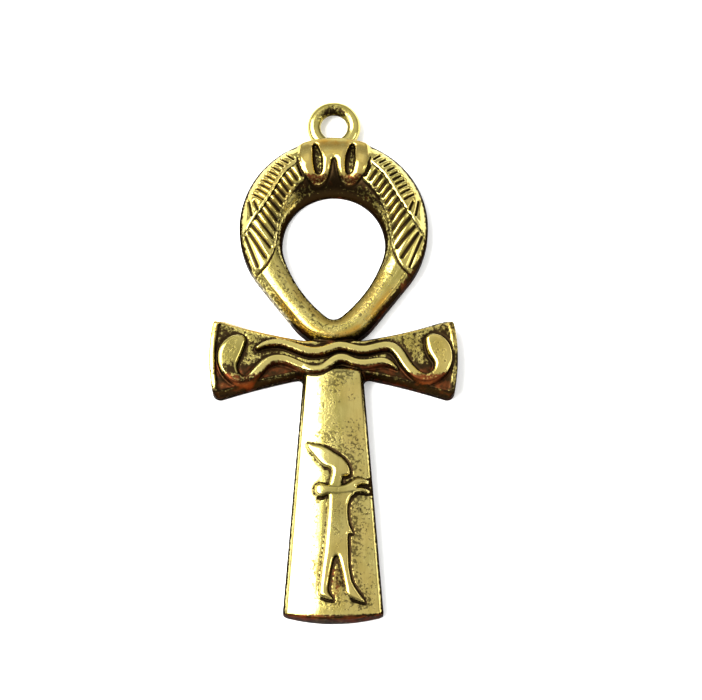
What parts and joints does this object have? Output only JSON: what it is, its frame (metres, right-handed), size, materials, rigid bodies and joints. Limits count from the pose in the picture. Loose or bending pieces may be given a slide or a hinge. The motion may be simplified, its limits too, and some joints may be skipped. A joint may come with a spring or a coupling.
{
  "type": "ankh pendant",
  "caption": "Cast ankh pendant with a winged teardrop loop, a lobed clasp, paired cobras on the arms, a standing figure on the stem and a cast-on hanging ring.",
  "frame": {"origin": "middle of the flat back, under the middle of the whole box", "axes": "+Z out of the face, +Y along the stem towards the hanging ring, +X along the arms"},
  "size_m": [0.0296, 0.065, 0.0044],
  "materials": {
    "antique_gold_plate": "antique gold plate over cast zinc alloy, worn bright on the high places and dark brown in the recesses"
  },
  "bodies": {
    "root": {"ankh_casting": "antique_gold_plate"}
  },
  "joints": []
}
